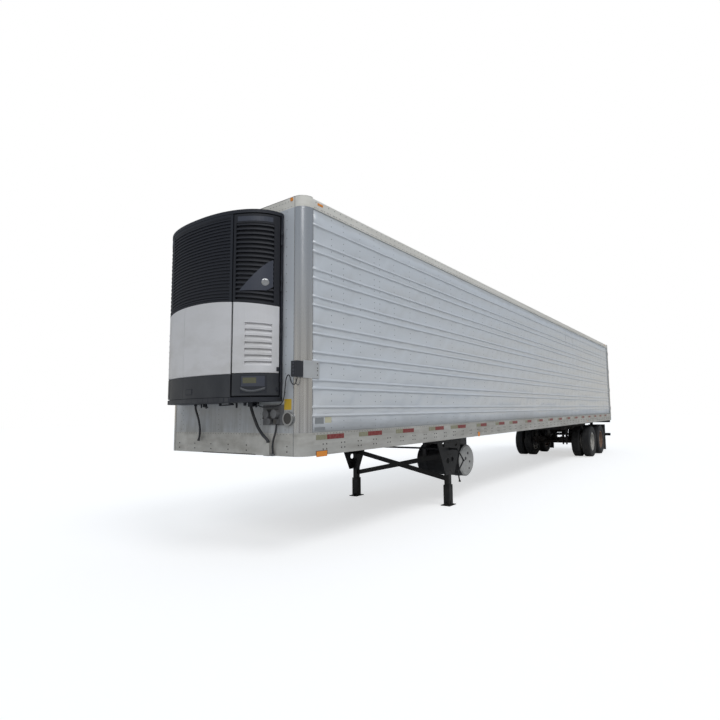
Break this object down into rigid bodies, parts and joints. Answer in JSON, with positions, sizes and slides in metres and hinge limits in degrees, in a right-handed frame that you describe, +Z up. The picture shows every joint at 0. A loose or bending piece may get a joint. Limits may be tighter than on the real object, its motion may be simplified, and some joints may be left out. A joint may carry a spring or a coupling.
{
  "type": "refrigerated van semi trailer",
  "caption": "Insulated box semi trailer with a nose-mounted refrigeration unit, landing gear, sliding twin-axle bogie on twin tyres and rear swing doors, parked uncoupled.",
  "frame": {"origin": "on the ground, at mid width and mid overall length", "axes": "+Z up, -Y towards the nose, +X the road side (the trailer's left)"},
  "size_m": [2.6, 16.719, 4.11],
  "materials": {
    "insulated_floor": "ribbed mill finish",
    "side_skin": "gloss white sheet, oil-canned",
    "front_skin": "gloss white sheet, road film",
    "stainless": "bright ribbed sheet",
    "roof_skin": "plain sheet",
    "rail_aluminium": "weathered extrusion",
    "chassis_black": "satin black, road dirt",
    "kingpin_steel": "greased steel",
    "crossmember_steel": "dull dark paint",
    "rear_frame_steel": "stainless sheet",
    "hinge_steel": "galvanised",
    "dock_rubber": "moulded",
    "tank_aluminium": "bright rolled sheet, dulled",
    "tank_strap": "dark band",
    "unit_grille": "moulded, grained",
    "unit_white": "moulded",
    "unit_engine": "plain block",
    "unit_frame_dark": "satin dark",
    "door_white": "gloss white sheet",
    "rod_steel": "galvanised",
    "air_spring_rubber": "moulded",
    "axle_paint": "dark paint with rust",
    "flap_rubber": "sheet",
    "tyre": "worn rubber",
    "rim_steel": "pale paint, dusty",
    "rim_rusty": "paint lost to rust",
    "panel_grey": "grey plate and cast fittings",
    "box_black": "moulded box on a plate",
    "hose_rubber": "hose"
  },
  "bodies": {
    "trailer": {"floor": "insulated_floor", "wall_left": "side_skin", "wall_right": "side_skin", "front_wall": "front_skin", "nose_corners": "stainless", "roof": "roof_skin", "top_rails": "rail_aluminium", "front_top_rail": "rail_aluminium", "bottom_rails": "rail_aluminium", "front_sill": "rail_aluminium", "coupler_plate": "chassis_black", "kingpin": "kingpin_steel", "crossmembers": "crossmember_steel", "rear_frame": "rear_frame_steel", "hinge_brackets": "hinge_steel", "door_keepers": "hinge_steel", "dock_bumpers": "dock_rubber", "underride_guard": "chassis_black", "landing_legs": "chassis_black", "landing_feet": "chassis_black", "landing_wing_plates": "chassis_black", "landing_brace": "chassis_black", "landing_crank": "chassis_black", "fuel_tank": "tank_aluminium", "tank_straps": "tank_strap", "slide_rails": "crossmember_steel", "air_coupling_panel": "panel_grey", "status_box": "box_black", "unit_frame": "unit_frame_dark", "unit_front_panel": "unit_grille", "unit_engine": "unit_engine", "drain_hose": "hose_rubber", "air_line_bundle": "hose_rubber", "supply_line": "hose_rubber", "status_cable": "hose_rubber"},
    "rear_door_left": {"door_left": "door_white", "lock_rods_left": "rod_steel"},
    "rear_door_right": {"door_right": "door_white", "lock_rods_right": "rod_steel"},
    "unit_service_door_left": {"unit_door_left": "unit_white"},
    "unit_service_door_right": {"unit_door_right": "unit_white"},
    "bogie": {"bogie_frame": "crossmember_steel", "suspension_arms": "axle_paint", "air_springs": "air_spring_rubber", "axles": "axle_paint", "brake_chambers": "axle_paint", "mud_flaps": "flap_rubber"},
    "wheels_front_left": {"tyres_front_left": "tyre", "hub_front_left": "rim_steel"},
    "wheels_front_right": {"tyres_front_right": "tyre", "hub_front_right": "rim_steel"},
    "wheels_rear_left": {"tyres_rear_left": "tyre", "hub_rear_left": "rim_rusty"},
    "wheels_rear_right": {"tyres_rear_right": "tyre", "hub_rear_right": "rim_rusty"}
  },
  "joints": [
    {"name": "bogie_slide", "type": "slide", "parent": "trailer", "child": "bogie", "axis": [0, 1, 0], "range_m": [-2.286, 0.61]},
    {"name": "rear_door_left_swing", "type": "hinge", "parent": "trailer", "child": "rear_door_left", "pos_m": [1.289, 8.3165, 2.6], "axis": [0, 0, -1], "range_deg": [0, 250]},
    {"name": "rear_door_right_swing", "type": "hinge", "parent": "trailer", "child": "rear_door_right", "pos_m": [-1.289, 8.3165, 2.6], "axis": [0, 0, 1], "range_deg": [0, 250]},
    {"name": "unit_door_left_swing", "type": "hinge", "parent": "trailer", "child": "unit_service_door_left", "pos_m": [0.993, -7.9215, 2.8], "axis": [0, 0, 1], "range_deg": [0, 85]},
    {"name": "unit_door_right_swing", "type": "hinge", "parent": "trailer", "child": "unit_service_door_right", "pos_m": [-0.993, -7.9215, 2.8], "axis": [0, 0, -1], "range_deg": [0, 85]},
    {"name": "wheels_front_left_spin", "type": "hinge", "parent": "bogie", "child": "wheels_front_left", "pos_m": [0.9835, 5.1805, 0.5], "axis": [1, 0, 0], "continuous": true},
    {"name": "wheels_front_right_spin", "type": "hinge", "parent": "bogie", "child": "wheels_front_right", "pos_m": [-0.9835, 5.1805, 0.5], "axis": [1, 0, 0], "continuous": true},
    {"name": "wheels_rear_left_spin", "type": "hinge", "parent": "bogie", "child": "wheels_rear_left", "pos_m": [0.9835, 6.4255, 0.5], "axis": [1, 0, 0], "continuous": true},
    {"name": "wheels_rear_right_spin", "type": "hinge", "parent": "bogie", "child": "wheels_rear_right", "pos_m": [-0.9835, 6.4255, 0.5], "axis": [1, 0, 0], "continuous": true}
  ]
}
